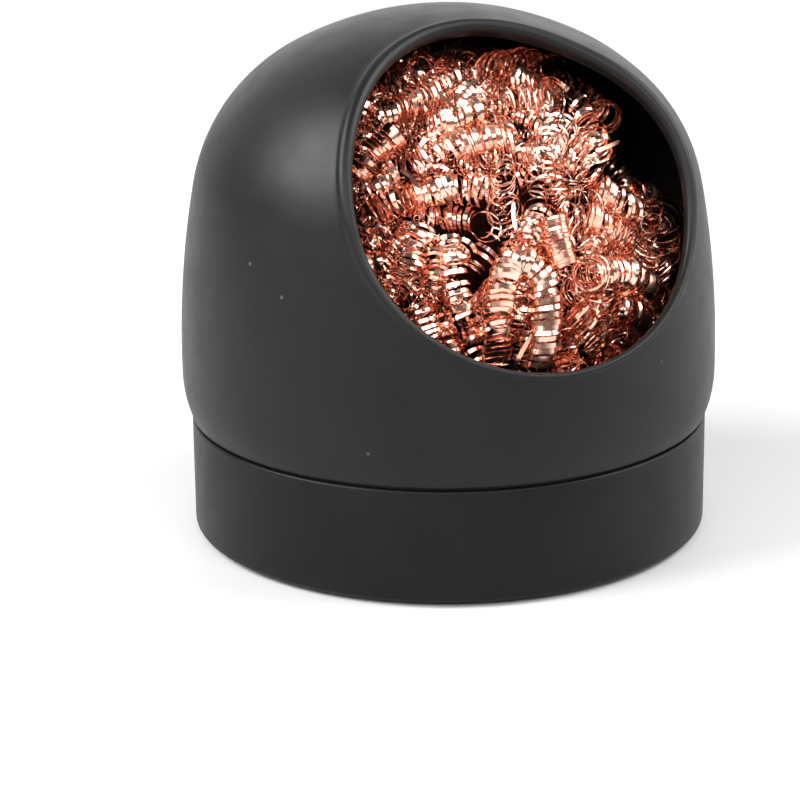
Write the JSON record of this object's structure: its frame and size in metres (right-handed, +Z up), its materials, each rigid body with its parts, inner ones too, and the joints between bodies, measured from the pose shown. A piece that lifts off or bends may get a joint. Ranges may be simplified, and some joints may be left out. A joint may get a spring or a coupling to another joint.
{
  "type": "soldering tip cleaner",
  "caption": "Domed soldering iron tip cleaner: a dark case with a slanted round mouth on a weighted base cup, filled with curly copper wire wool.",
  "frame": {"origin": "centre of the foot pad's underside, where the cleaner stands on a bench", "axes": "+Z up along the case's axis, -Y the way the slanted mouth faces, +X to the right as seen from the back and to the viewer's right when looking along +Y into the mouth"},
  "size_m": [0.068, 0.068, 0.0673],
  "materials": {
    "case_paint": "satin",
    "base_paint": "satin",
    "foot_rubber": "matte",
    "ballast_steel": "satin",
    "sleeve_plastic": "matte",
    "ring_rubber": "satin",
    "packed_wool": "satin",
    "copper_wire": "polished"
  },
  "bodies": {
    "base": {"base_cup": "base_paint", "foot_pad": "foot_rubber", "ballast_plate": "ballast_steel", "inner_sleeve": "sleeve_plastic", "wire_core": "packed_wool", "wire_strand_01": "copper_wire", "wire_strand_02": "copper_wire", "wire_strand_03": "copper_wire", "wire_strand_04": "copper_wire", "wire_strand_05": "copper_wire", "wire_strand_06": "copper_wire", "wire_strand_07": "copper_wire", "wire_strand_08": "copper_wire", "wire_strand_09": "copper_wire", "wire_strand_10": "copper_wire", "wire_strand_11": "copper_wire", "wire_strand_12": "copper_wire", "wire_strand_13": "copper_wire", "wire_strand_14": "copper_wire", "wire_strand_15": "copper_wire", "wire_strand_16": "copper_wire", "wire_strand_17": "copper_wire", "wire_strand_18": "copper_wire", "wire_strand_19": "copper_wire", "wire_strand_20": "copper_wire", "wire_strand_21": "copper_wire", "wire_strand_22": "copper_wire", "wire_strand_23": "copper_wire", "wire_strand_24": "copper_wire", "wire_strand_25": "copper_wire", "wire_strand_26": "copper_wire"},
    "ring": {"friction_ring": "ring_rubber"},
    "dome": {"dome_shell": "case_paint"}
  },
  "joints": [
    {"name": "dome_turn", "type": "hinge", "parent": "base", "child": "ring", "pos_m": [0, 0, 0.018], "axis": [0, 0, 1], "continuous": true},
    {"name": "dome_lift", "type": "slide", "parent": "ring", "child": "dome", "axis": [0, 0, 1], "range_m": [0, 0.06]}
  ]
}
